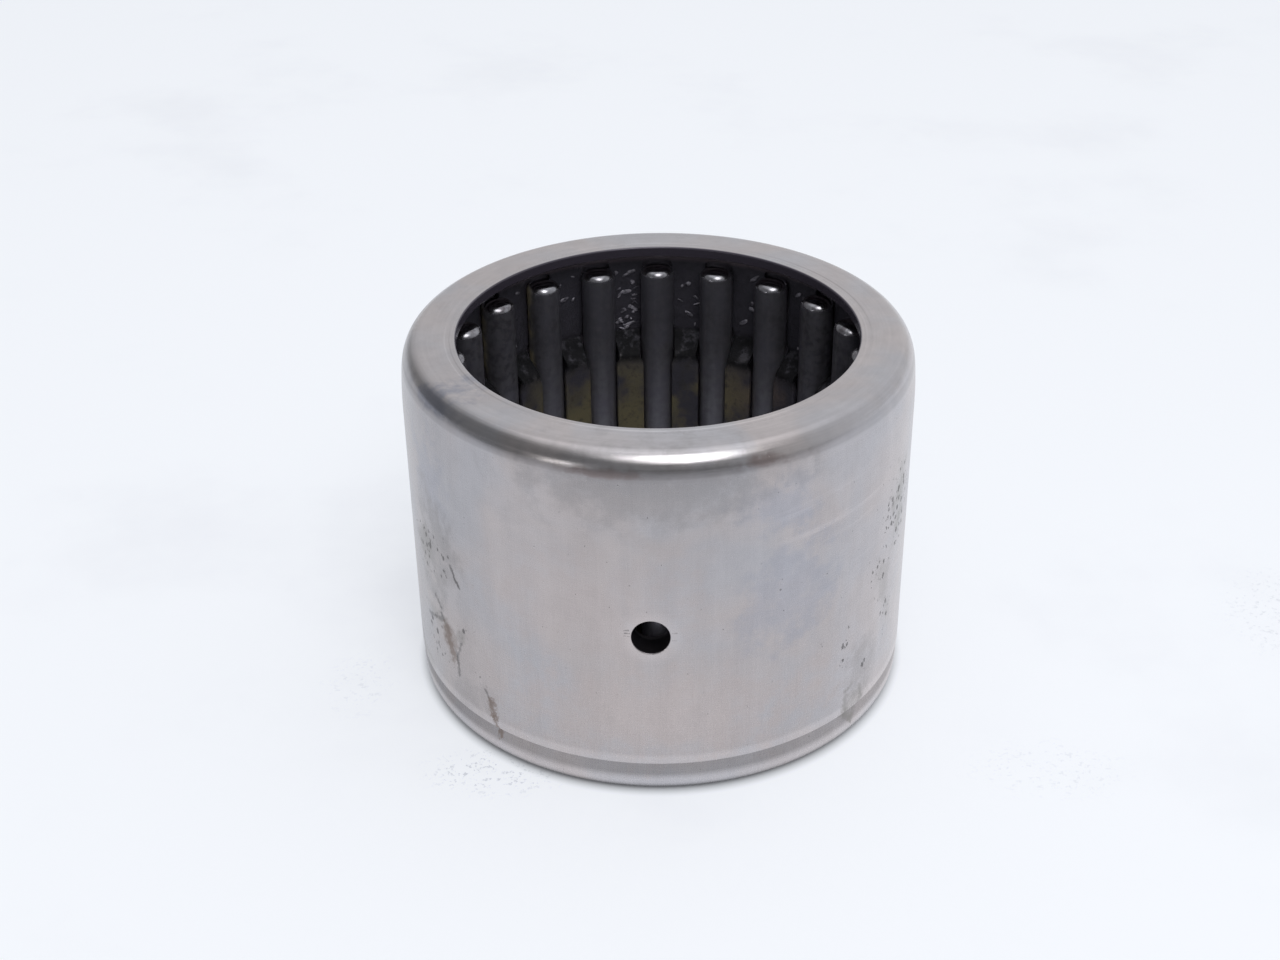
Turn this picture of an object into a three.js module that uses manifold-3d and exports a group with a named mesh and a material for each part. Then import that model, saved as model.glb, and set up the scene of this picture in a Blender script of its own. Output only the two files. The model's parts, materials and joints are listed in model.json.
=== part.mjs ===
// Drawn cup needle roller bearing: a thin steel cup with an oil hole, a one-piece sheet steel cage and
// twenty needle rollers. The rollers run straight on the shaft, so the bearing has no inner ring.
// Millimetres, +Z along the bearing axis, origin on the axis at mid-width. The oil hole faces -Y.
import * as THREE from "three";
import { mergeVertices } from "three/addons/utils/BufferGeometryUtils.js";
import Module from "manifold-3d";

const wasm = await Module();
wasm.setup();

// Driving dimensions
const OUTSIDE_DIAMETER = 34.0;
const WIDTH = 25.0;
const SHAFT_DIAMETER = 25.4; // 1 in shaft
const ROLLER_DIAMETER = 2.38; // 3/32 in
const ROLLER_LENGTH = 21.5;
const ROLLER_CORNER = 0.55;
const ROLLER_DOME = 0.06; // how far the ends stand out in the middle
const ROLLER_COUNT = 20;
const FIRST_ROLLER_ANGLE = -88; // degrees from +X, close to the oil hole
const OIL_HOLE_DIAMETER = 2.38; // 3/32 in
const OIL_HOLE_HEIGHT = -0.2; // a little below mid-width
const SHAFT_CLEARANCE = 0.01; // radial, between the rollers and the shaft
const RACEWAY_CLEARANCE = 0.05; // radial, between the rollers and the cup

// Cup
const LIP_DIAMETER = 26.5;
const LIP_THICKNESS = 0.75;
const LIP_EDGE = 0.15; // chamfer on the lips' inner edges
// The drawn corner opens out from the end face to the wall: each arc's radius, and the lean from the
// wall, in degrees, at which it ends. The first one starts flat, at 90.
const DRAWN_CORNER = [
  [0.85, 60],
  [1.45, 26],
  [2.2, 11],
  [5.0, 5],
  [28.0, 0],
];
const CURLED_CORNER = 1.2; // at the end that was curled over the cage to close the cup
const CURLED_CREST_INSET = 0.07; // the curl's widest ring, inside the wall
const GROOVE_TOP = 2.45; // height of the shallow groove above the curl
const GROOVE_DEPTH = 0.26;
const GROOVE_FLOOR = [1.9, 2.27]; // heights
const RACEWAY_FILLET = 0.4;

// Cage: its bars run outside the pitch circle at the ends and inside it in the middle
const SHEET = 0.35;
const CAGE_END_FLOAT = 0.15;
const CAGE_OUTER_RADIUS = 14.94;
const CAGE_INNER_RADIUS = 12.9;
const CAGE_FLANGE_RADIUS = 14.25; // inner radius of the flange at each end
const POCKET_END_CLEARANCE = 0.15;
const POCKET_WIDTH = 2.1; // narrower than a roller, which keeps it in
const POCKET_GUIDE_WIDTH = 2.5; // where the bars cross the pitch circle
const BAR_STEP_TOP = 5.2; // where the bars leave their outer run
const BAR_STEP_BOTTOM = 4.0; // where they reach their inner run

// Roundness of the faceted solids
const CUP_SEGMENTS = 72;
const CAGE_SEGMENTS = 80;
const ROLLER_SEGMENTS = 16;
const OIL_HOLE_SEGMENTS = 24;

// Derived dimensions
const cupRadius = OUTSIDE_DIAMETER / 2;
const lipRadius = LIP_DIAMETER / 2;
const halfWidth = WIDTH / 2;
const rollerRadius = ROLLER_DIAMETER / 2;
const pitchRadius = SHAFT_DIAMETER / 2 + SHAFT_CLEARANCE + rollerRadius;
const racewayRadius = pitchRadius + rollerRadius + RACEWAY_CLEARANCE;
const lipInside = halfWidth - LIP_THICKNESS;
const cageHalfLength = lipInside - CAGE_END_FLOAT;
const pocketHalfLength = ROLLER_LENGTH / 2 + POCKET_END_CLEARANCE;
const rollerAngles = Array.from({ length: ROLLER_COUNT }, (_, i) =>
  THREE.MathUtils.degToRad(FIRST_ROLLER_ANGLE + (360 / ROLLER_COUNT) * i),
);

const point = (radius, z) => new THREE.Vector2(radius, z);
const mirrored = (points) => points.map((p) => point(p.x, -p.y)).reverse();

// Points of an elliptical arc, with angles in degrees from outwards (0) to upwards (90).
function arc(centreRadius, centreZ, radial, axial, from, to, steps) {
  return Array.from({ length: steps + 1 }, (_, i) => {
    const angle = THREE.MathUtils.degToRad(from + ((to - from) * i) / steps);
    return point(centreRadius + radial * Math.cos(angle), centreZ + axial * Math.sin(angle));
  });
}

// A profile turned about the bearing axis. It runs anticlockwise, with the radius to the right.
function turned(profile, segments) {
  return new THREE.LatheGeometry(profile, segments).rotateX(Math.PI / 2);
}

function toSolid(geometry) {
  const bare = geometry.clone().deleteAttribute("normal").deleteAttribute("uv");
  const merged = mergeVertices(bare);
  return new wasm.Manifold(
    new wasm.Mesh({
      numProp: 3,
      vertProperties: new Float32Array(merged.getAttribute("position").array),
      triVerts: new Uint32Array(merged.getIndex().array),
    }),
  );
}

function toGeometry(solid) {
  const mesh = solid.getMesh();
  return new THREE.BufferGeometry()
    .setAttribute("position", new THREE.BufferAttribute(mesh.vertProperties, 3))
    .setIndex(new THREE.BufferAttribute(mesh.triVerts, 1));
}

function cutFrom(blank, cutters) {
  return toGeometry(cutters.reduce((left, cutter) => left.subtract(toSolid(cutter)), toSolid(blank)));
}

// The drawn corner's points, from the wall up to the end face.
function drawnCorner() {
  const down = [point(0, 0)];
  let lean = 90;
  for (const [radius, end] of DRAWN_CORNER) {
    const steps = lean - end > 20 ? 2 : 1;
    const turn = (lean - end) / steps;
    for (let i = 0; i < steps; i++, lean -= turn) {
      const middle = THREE.MathUtils.degToRad(lean - turn / 2);
      const chord = 2 * radius * Math.sin(THREE.MathUtils.degToRad(turn / 2));
      const last = down[down.length - 1];
      down.push(point(last.x + chord * Math.sin(middle), last.y - chord * Math.cos(middle)));
    }
  }
  const reach = down[down.length - 1].x;
  return down.map((p) => point(cupRadius - reach + p.x, halfWidth + p.y)).reverse();
}

// The cup: outer wall, drawn corner and lip at the top, groove, curled corner and lip at the bottom.
function cupProfile() {
  const curlRadius = cupRadius - CURLED_CREST_INSET - CURLED_CORNER;
  const outside = [
    point(lipRadius + LIP_EDGE, -halfWidth),
    ...arc(curlRadius, CURLED_CORNER - halfWidth, CURLED_CORNER, CURLED_CORNER, -90, 0, 4),
    ...GROOVE_FLOOR.map((height) => point(cupRadius - GROOVE_DEPTH, height - halfWidth)),
    point(cupRadius, GROOVE_TOP - halfWidth),
    ...drawnCorner(),
  ];
  const filletRadius = racewayRadius - RACEWAY_FILLET;
  const filletHeight = lipInside - RACEWAY_FILLET;
  const inside = [
    point(lipRadius + LIP_EDGE, halfWidth),
    point(lipRadius, halfWidth - LIP_EDGE),
    point(lipRadius, lipInside + LIP_EDGE),
    point(lipRadius + LIP_EDGE, lipInside),
    ...arc(filletRadius, filletHeight, RACEWAY_FILLET, RACEWAY_FILLET, 90, 0, 2),
    ...arc(filletRadius, -filletHeight, RACEWAY_FILLET, RACEWAY_FILLET, 0, -90, 2),
    point(lipRadius + LIP_EDGE, -lipInside),
    point(lipRadius, -lipInside - LIP_EDGE),
    point(lipRadius, LIP_EDGE - halfWidth),
  ];
  return [...outside, ...inside, outside[0]];
}

function cupGeometry() {
  const holeRadius = OIL_HOLE_DIAMETER / 2;
  const drillLength = 2 * (cupRadius - racewayRadius);
  const drill = new THREE.CylinderGeometry(holeRadius, holeRadius, drillLength, OIL_HOLE_SEGMENTS);
  drill.translate(0, -(cupRadius + racewayRadius) / 2, OIL_HOLE_HEIGHT);
  return cutFrom(turned(cupProfile(), CUP_SEGMENTS), [drill]);
}

// The cage's sheet, before its pockets are cut: a flanged ring at each end and a waisted middle.
function cageProfile() {
  const upperOutside = [
    point(CAGE_INNER_RADIUS + SHEET, BAR_STEP_BOTTOM),
    point(CAGE_OUTER_RADIUS, BAR_STEP_TOP),
    point(CAGE_OUTER_RADIUS, cageHalfLength),
  ];
  const upperInside = [
    point(CAGE_FLANGE_RADIUS, cageHalfLength),
    point(CAGE_FLANGE_RADIUS, cageHalfLength - SHEET),
    point(CAGE_OUTER_RADIUS - SHEET, cageHalfLength - SHEET),
    point(CAGE_OUTER_RADIUS - SHEET, BAR_STEP_TOP),
    point(CAGE_INNER_RADIUS, BAR_STEP_BOTTOM),
  ];
  return [
    ...mirrored(upperOutside),
    ...upperOutside,
    ...upperInside,
    ...mirrored(upperInside),
    point(CAGE_OUTER_RADIUS, -cageHalfLength),
  ];
}

// The cutters of one pocket: a long slot, with a wider guide at each step of the bars.
function pocketCutters(angle) {
  const depth = 2 * (CAGE_OUTER_RADIUS - CAGE_INNER_RADIUS);
  const guideLength = BAR_STEP_TOP - BAR_STEP_BOTTOM + SHEET;
  const guideHeight = (BAR_STEP_TOP + BAR_STEP_BOTTOM) / 2;
  const cutters = [
    new THREE.BoxGeometry(depth, POCKET_WIDTH, 2 * pocketHalfLength),
    new THREE.BoxGeometry(depth, POCKET_GUIDE_WIDTH, guideLength).translate(0, 0, guideHeight),
    new THREE.BoxGeometry(depth, POCKET_GUIDE_WIDTH, guideLength).translate(0, 0, -guideHeight),
  ];
  return cutters.map((cutter) => cutter.translate(pitchRadius, 0, 0).rotateZ(angle));
}

function cageGeometry() {
  const blank = turned(cageProfile(), CAGE_SEGMENTS).rotateZ(rollerAngles[0]);
  return cutFrom(blank, rollerAngles.flatMap(pocketCutters));
}

// A needle roller: a cylinder with rounded corners and slightly domed ends.
function rollerGeometry() {
  const cornerRadius = rollerRadius - ROLLER_CORNER;
  const cornerHeight = ROLLER_LENGTH / 2 - ROLLER_DOME - ROLLER_CORNER;
  const end = [
    ...arc(cornerRadius, cornerHeight, ROLLER_CORNER, ROLLER_CORNER, 0, 90, 3),
    point(0, ROLLER_LENGTH / 2),
  ];
  return turned([...mirrored(end), ...end], ROLLER_SEGMENTS);
}

const groundSteel = new THREE.MeshStandardMaterial({ color: 0xaaa6a6, roughness: 0.35, metalness: 1 });
const greasedSheet = new THREE.MeshStandardMaterial({ color: 0x3a362c, roughness: 0.4, metalness: 0.6 });
const polishedSteel = new THREE.MeshStandardMaterial({ color: 0x8e9096, roughness: 0.2, metalness: 1 });

function named(name, geometry, material) {
  const mesh = new THREE.Mesh(geometry, material);
  mesh.name = name;
  return mesh;
}

const bearing = new THREE.Group();
bearing.add(named("drawn_cup", cupGeometry(), groundSteel));
bearing.add(named("roller_cage", cageGeometry(), greasedSheet));
const roller = rollerGeometry();
rollerAngles.forEach((angle, i) => {
  const needle = named(`needle_roller_${String(i + 1).padStart(2, "0")}`, roller, polishedSteel);
  needle.position.set(pitchRadius * Math.cos(angle), pitchRadius * Math.sin(angle), 0);
  bearing.add(needle);
});

export default bearing;
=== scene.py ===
"""Looks of a caged drawn cup needle roller bearing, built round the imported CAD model.

Blender works in metres. The sizes below are millimetres in the CAD model's frame: +Z along the bearing
axis, origin on the axis at mid-width, oil hole facing -Y.
"""
import json
import math
import random

import bpy
from mathutils import Matrix, Vector

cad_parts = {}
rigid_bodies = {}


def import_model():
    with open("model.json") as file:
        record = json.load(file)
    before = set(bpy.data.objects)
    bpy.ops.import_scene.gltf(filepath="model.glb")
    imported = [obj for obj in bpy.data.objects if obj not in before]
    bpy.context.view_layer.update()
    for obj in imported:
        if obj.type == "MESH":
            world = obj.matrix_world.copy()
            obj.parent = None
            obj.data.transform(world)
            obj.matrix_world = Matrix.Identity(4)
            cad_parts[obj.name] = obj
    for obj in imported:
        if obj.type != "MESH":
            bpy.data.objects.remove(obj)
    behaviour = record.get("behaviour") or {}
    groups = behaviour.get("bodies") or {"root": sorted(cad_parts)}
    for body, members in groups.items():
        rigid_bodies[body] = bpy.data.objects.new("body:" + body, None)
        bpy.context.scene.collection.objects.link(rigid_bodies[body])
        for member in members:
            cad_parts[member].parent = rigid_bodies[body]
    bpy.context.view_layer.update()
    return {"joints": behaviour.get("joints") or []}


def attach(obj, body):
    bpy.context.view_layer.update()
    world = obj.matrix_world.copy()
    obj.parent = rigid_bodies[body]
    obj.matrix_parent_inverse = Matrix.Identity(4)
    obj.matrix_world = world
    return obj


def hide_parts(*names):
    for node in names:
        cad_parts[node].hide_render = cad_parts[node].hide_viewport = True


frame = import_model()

MM = 0.001

# Cup
CUP_RADIUS = 17.0
HALF_WIDTH = 12.5
RACEWAY_RADIUS = 15.14
RACEWAY_FILLET = 0.4
LIP_RADIUS = 13.25
LIP_INSIDE = 11.75  # height of the lips' inner faces
LIP_EDGE = 0.14  # rounding of the lips' edges, outside and inside
LIP_INNER_EDGE = 0.1
# The drawn corner, from the end face down the wall: (radius of curvature, angle from the wall at its end)
DRAWN_CORNER = [(0.85, 60), (1.45, 26), (2.2, 11), (5.0, 5), (28.0, 0)]
CURLED_CORNER = 0.9
CURL_CREST = 16.93  # radius of the curl's widest ring
CURL_TOP = -11.18
GROOVE_RADIUS = 16.72
GROOVE_FLOOR = (-10.4, -10.22)
GROOVE_EDGE = -10.12  # height where the ground wall starts
TURNED_RING = (13.68, 13.98)  # radii of a faint groove round the opening, in the upper face
TURNED_SLOPE = 0.04
TURNED_DEPTH = 0.035
OIL_HOLE_RADIUS = 1.19
OIL_HOLE_HEIGHT = -0.2
OIL_HOLE_RIM = 0.1  # radius of the hole's worn edges
WALL_STEP = 0.6  # height between the mesh's rows
RACEWAY_STEP = 0.8
CUP_COLUMNS = 480
PATCH_CELLS = 16  # the oil hole sits in a square patch of this many cells each way
INSET = 0.0005  # keeps the finer mesh inside the faceted solid's box

# Cage
SHEET = 0.35
CAGE_OUTER = 14.94
CAGE_INNER = 12.9
FLANGE_RADIUS = 14.25
CAGE_HALF_LENGTH = 11.6
STEP_TOP = 5.2
STEP_BOTTOM = 4.0
POCKET_HALF_LENGTH = 10.9
POCKET_HALF_WIDTH = 1.05
GUIDE_HALF_WIDTH = 1.25
POCKET_CORNER = 0.35
GUIDE_HALF_LENGTH = 0.9  # of the stretch where the pocket opens out to its guide width
GUIDE_BLEND = 0.25
FLANGE_BEND = 0.22
STEP_BEND = 0.4
CAGE_STEP = 0.5  # length between the mesh's rows
CAGE_EDGE = 0.06  # rounding of the sheet's edges
BAR_COLUMNS = 8  # across a bar, and across a pocket's end
GREASE_LUMPS = 280
GREASE_CLUMP = 99.0  # degrees round from +X to the bar where every tenth lump lies
GREASE_REACH = 0.75  # how far the lumps lie from the middle of a bar
GREASE_HEIGHTS = (STEP_TOP + 0.3, POCKET_HALF_LENGTH - 0.6)
LUMP_WIDTHS = (0.06, 0.3)  # half-sizes, least and most
LUMP_HEIGHTS = (0.05, 0.2)
LUMP_DEPTHS = (0.04, 0.12)
LUMP_SWELLS = (0.75, 1.2)
LUMP_LEAN = 0.9  # radians

# Rollers
ROLLER_RADIUS = 1.19
ROLLER_HALF_LENGTH = 10.75
ROLLER_CORNER = 0.55
ROLLER_DOME = 0.06
ROLLER_ROWS = (10.1, 9, 7.5, 6, 4.5, 3, 1.5, 0)  # heights of the mesh's rows down the upper half
ROLLER_COLUMNS = 64

# Floor: painted shade under the bearing and far in front of it
CONTACT_SHADE = (16.3, 17.5)
FRONT_SHADE = (38.0, 110.0)
FLOOR_DIRT = [  # (x, y, half-width, half-depth, weight)
    (-10.5, -15.2, 6.0, 3.2, 0.6),
    (-21.0, -6.0, 3.5, 5.0, 0.22),
    (26.0, -14.0, 7.0, 4.0, 0.22),
    (46.0, 4.0, 6.0, 8.0, 0.3),
]

LAMPS = [  # (name, azimuth and elevation in degrees, distance, width and height in metres, watts)
    ("key_softbox", 16, 55, 0.40, 0.22, 0.27, 0.24),
    ("key_core", 16, 55, 0.39, 0.16, 0.21, 0.15),
    ("key_rim", 16, 54, 0.41, 0.36, 0.30, 0.24),
    ("low_lamp", -39, 8, 0.40, 0.08, 0.03, 0.055),
]

# Camera: where it stands and which way it looks from there
CAMERA_AZIMUTH = 1.87  # degrees, towards +X from straight in front
CAMERA_ELEVATION = 31.31
CAMERA_DISTANCE = 126.5
CAMERA_LENS = 51.39
CAMERA_PAN = 0.588  # degrees off the bearing's middle, as the tilt and roll
CAMERA_TILT = 0.356
CAMERA_ROLL = 0.375

# Wear on the cup's wall, and a painted dark reflection on its corner, by degrees round from the oil hole and
# height
BLUE, BROWN, GREY = (0.385, 0.392, 0.44), (0.31, 0.25, 0.24), (0.345, 0.327, 0.328)
NAVY_PAINTED_REFLECTION, WARM = (0.27, 0.28, 0.335), (0.51, 0.45, 0.435)
RUST, SOOT, SMUDGE = (0.235, 0.185, 0.16), (0.13, 0.125, 0.125), (0.29, 0.275, 0.26)
TINTS = [  # (turn, height, half-width, half-height, weight, colour)
    (3.0, -6.5, 15.0, 4.5, 0.6, WARM),
    (-12.0, 1.5, 10.0, 5.0, 0.4, WARM),
    (-57.5, 6.0, 3.0, 4.5, 0.65, BLUE),
    (30.1, 1.9, 4.5, 5.5, 0.55, BLUE),
    (27.0, 8.3, 3.5, 2.6, 0.6, BLUE),
    (0.0, 10.0, 12.0, 3.0, 0.5, GREY),
    (-57.0, 1.0, 3.5, 5.5, 0.8, GREY),
    (-45.0, -8.5, 3.0, 2.5, 0.35, GREY),
    (53.0, -7.0, 2.5, 2.4, 0.6, GREY),
    (24.5, 11.5, 2.4, 0.55, 0.8, BROWN),
    (-10.5, 11.25, 3.0, 0.42, 0.7, BROWN),
    # A painted dark reflection on the left of the drawn corner.
    (-55.5, 11.95, 3.6, 0.8, 0.75, NAVY_PAINTED_REFLECTION),
    (-53.0, -5.2, 1.0, 1.7, 0.6, RUST),
    (-58.5, -4.4, 2.2, 0.9, 0.45, SMUDGE),
    (-62.5, 0.6, 1.6, 2.4, 0.6, SMUDGE),
    (-48.0, -4.4, 0.7, 0.8, 0.5, SMUDGE),
    (-68.0, -9.6, 2.0, 0.8, 0.5, SMUDGE),
    (69.0, 3.6, 1.6, 3.6, 0.75, SMUDGE),
    (61.0, -1.5, 1.5, 2.4, 0.35, SMUDGE),
    (65.0, -4.6, 1.0, 1.6, 0.4, SMUDGE),
    (50.6, -9.7, 1.5, 1.3, 0.5, SMUDGE),
]
STREAKS = [  # (start, end, half-width, weight, colour)
    ((-64.0, -5.1), (-59.5, -4.7), 0.16, 0.5, SOOT),
    ((-59.5, -4.7), (-55.5, -4.2), 0.22, 0.55, SOOT),
    ((-56.0, -3.9), (-53.4, -4.8), 0.2, 0.6, SOOT),
    ((-54.0, -4.6), (-51.6, -6.6), 0.55, 0.75, RUST),
    ((-47.9, -4.9), (-49.9, -6.2), 0.16, 0.5, SOOT),
    ((-51.0, -5.7), (-49.9, -6.3), 0.14, 0.5, SOOT),
    ((-50.0, -6.2), (-49.8, -7.7), 0.2, 0.65, SOOT),
    ((-50.3, 0.8), (-49.2, 0.3), 0.17, 0.75, SOOT),
    ((-48.9, 0.1), (-47.4, -0.4), 0.17, 0.85, SOOT),
    ((-58.6, -2.8), (-56.0, -3.4), 0.2, 0.6, SOOT),
    ((-40.3, -7.5), (-38.8, -8.4), 0.16, 0.6, SOOT),
    ((-38.7, -8.2), (-38.1, -9.3), 0.4, 0.8, RUST),
    ((-38.2, -9.3), (-36.7, -10.9), 0.26, 0.75, RUST),
    ((-74.0, -8.6), (-71.5, -10.0), 0.2, 0.5, SOOT),
    ((47.9, -8.5), (47.9, -10.2), 0.34, 0.45, SMUDGE),
    ((47.9, -10.2), (50.6, -11.1), 0.4, 0.5, SMUDGE),
    ((50.6, -11.1), (54.0, -9.7), 0.34, 0.45, SMUDGE),
    ((54.0, -9.7), (53.2, -8.7), 0.24, 0.4, SMUDGE),
    ((48.0, -8.4), (50.2, -8.0), 0.22, 0.4, SMUDGE),
    ((-5.5, 0.28), (-4.6, 0.30), 0.06, 0.5, SOOT),
    ((-5.4, 0.06), (-4.4, 0.08), 0.06, 0.6, SOOT),
    ((-5.6, -0.12), (-4.5, -0.14), 0.06, 0.5, SOOT),
    ((4.5, 0.12), (5.4, 0.12), 0.05, 0.4, SOOT),
    ((4.5, -0.42), (5.3, -0.44), 0.05, 0.4, SOOT),
]
PITTED = [  # (turn, height, half-width, half-height)
    (-61.5, 0.6, 2.6, 2.4),
    (-54.0, 1.0, 1.4, 2.2),
    (-46.0, -3.8, 1.2, 1.2),
    (-60.0, -6.0, 2.0, 2.4),
    (68.0, 3.0, 3.2, 4.6),
    (58.5, -1.0, 1.8, 2.6),
    (63.5, -4.4, 1.3, 2.2),
    (46.5, -4.4, 0.6, 2.6),
    (53.8, -7.0, 0.9, 1.0),
    (27.7, 2.3, 0.5, 0.6),
    (-41.0, -6.6, 0.7, 0.8),
]


# ---------------------------------------------------------------- mesh helpers


def arc(centre_r, centre_z, radial, axial, start, end, steps):
    """Points (radius, height) of an elliptical arc, angles in degrees from outwards to upwards."""
    angles = [math.radians(start + (end - start) * i / steps) for i in range(steps + 1)]
    return [(centre_r + radial * math.cos(a), centre_z + axial * math.sin(a)) for a in angles]


def rounded(corners, closed=False, support=0.03):
    """An outline from corners (r, z, fillet radius, steps), with a point close beside each fillet.

    Those points keep the smooth shading of the flat stretches flat.
    """
    out = []
    count = len(corners)
    for i, (r, z, radius, steps) in enumerate(corners):
        at_end = not closed and i in (0, count - 1)
        if radius == 0 or at_end:
            out.append((r, z))
            continue
        here = Vector((r, z))
        back = (Vector(corners[i - 1][:2]) - here).normalized()
        ahead = (Vector(corners[(i + 1) % count][:2]) - here).normalized()
        half = back.angle(ahead) / 2
        reach = radius / math.tan(half)
        centre = here + (back + ahead).normalized() * radius / math.sin(half)
        start, end = here + back * reach - centre, here + ahead * reach - centre
        first = math.atan2(start.y, start.x)
        turn = (math.atan2(end.y, end.x) - first + math.pi) % (2 * math.pi) - math.pi
        out.append(tuple(here + back * (reach + support)))
        for k in range(steps + 1):
            a = first + turn * k / steps
            out.append((centre.x + radius * math.cos(a), centre.y + radius * math.sin(a)))
        out.append(tuple(here + ahead * (reach + support)))
    return out


def compound_corner(outer, top, bends):
    """Points up a corner of several radii, from the wall to the flat end face."""
    r = z = 0.0
    lean = 90.0
    points = [(r, z)]
    for radius, end in bends:
        steps = max(3, round((lean - end) / 5))
        turn = (lean - end) / steps
        for _ in range(steps):
            middle = math.radians(lean - turn / 2)
            length = radius * math.radians(turn)
            r, z = r + length * math.sin(middle), z - length * math.cos(middle)
            lean -= turn
            points.append((r, z))
    return [(outer - r + out, top + down) for out, down in points[::-1]]


def make_piece(name, vertices, faces, material, body, replaced):
    """A smooth mesh in millimetres that rides on a body and stands for a CAD node."""
    mesh = bpy.data.meshes.new(name)
    mesh.from_pydata([Vector(v) * MM for v in vertices], [], faces)
    mesh.validate()
    mesh.shade_smooth()
    mesh.materials.append(material)
    piece = bpy.data.objects.new(name, mesh)
    bpy.context.scene.collection.objects.link(piece)
    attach(piece, body)
    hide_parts(replaced)
    return piece


def settle(piece):
    """Applies a piece's modifiers."""
    evaluated = piece.evaluated_get(bpy.context.evaluated_depsgraph_get())
    mesh = bpy.data.meshes.new_from_object(evaluated)
    piece.modifiers.clear()
    piece.data = mesh


# ---------------------------------------------------------------- cup


def spaced(start, end, step):
    """Values from start to end, evenly apart by about a step."""
    count = max(1, round(abs(end - start) / step))
    return [start + (end - start) * i / count for i in range(count + 1)]


def cup_outline():
    """The closed outline (radius, height), and where the oil hole's patch starts on its two walls.

    The end points that the slices leave out only give a stretch its direction.
    """
    outer = CUP_RADIUS - INSET
    top = HALF_WIDTH - INSET
    patch = patch_half_size()
    cells = [OIL_HOLE_HEIGHT + patch * (2 * i / PATCH_CELLS - 1) for i in range(PATCH_CELLS + 1)]

    foot = rounded(
        [
            (LIP_RADIUS, 2 - HALF_WIDTH, 0, 0),
            (LIP_RADIUS, -top, LIP_EDGE, 4),
            (CURL_CREST, -top, CURLED_CORNER, 12),
            (CURL_CREST, CURL_TOP, 0.25, 3),
            (GROOVE_RADIUS, GROOVE_FLOOR[0], 0.1, 3),
            (GROOVE_RADIUS, GROOVE_FLOOR[1], 0.05, 3),
            (outer, GROOVE_EDGE, 0.05, 3),
            (outer, -9.0, 0, 0),
        ]
    )[1:-1]
    below = spaced(-9.6, cells[0], WALL_STEP)[:-1]
    above = spaced(cells[-1], 8.0, WALL_STEP)[1:]
    wall = [(outer, z) for z in below + cells + above]
    corner = compound_corner(outer, top, DRAWN_CORNER)
    inside_ring, outside_ring = TURNED_RING
    sunk = top - TURNED_DEPTH
    face = rounded(
        [
            (15.5, top, 0, 0),
            (outside_ring + TURNED_SLOPE, top, 0.1, 2),
            (outside_ring - TURNED_SLOPE, sunk, 0.1, 2),
            (inside_ring + TURNED_SLOPE, sunk, 0.1, 2),
            (inside_ring - TURNED_SLOPE, top, 0.1, 2),
            (LIP_RADIUS, top, LIP_EDGE, 4),
            (LIP_RADIUS, LIP_INSIDE, LIP_INNER_EDGE, 3),
            (RACEWAY_RADIUS, LIP_INSIDE, RACEWAY_FILLET, 5),
            (RACEWAY_RADIUS, 5, 0, 0),
        ],
        support=0.015,
    )[:-1]
    above = spaced(11.0, cells[-1], RACEWAY_STEP)[:-1]
    below = spaced(cells[0], -11.0, RACEWAY_STEP)[1:]
    raceway = [(RACEWAY_RADIUS, z) for z in above + cells[::-1] + below]
    inner_foot = rounded(
        [
            (RACEWAY_RADIUS, -5, 0, 0),
            (RACEWAY_RADIUS, -LIP_INSIDE, RACEWAY_FILLET, 5),
            (LIP_RADIUS, -LIP_INSIDE, LIP_INNER_EDGE, 3),
            (LIP_RADIUS, -12.2, 0, 0),
        ]
    )[1:-1]
    outline = foot + wall + corner + face + raceway + inner_foot
    return outline, outline.index((outer, cells[0])), outline.index((RACEWAY_RADIUS, cells[-1]))


def patch_half_size():
    """Half the side of the square patch round the oil hole."""
    return CUP_RADIUS * math.radians(360 / CUP_COLUMNS) * PATCH_CELLS / 2


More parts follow.
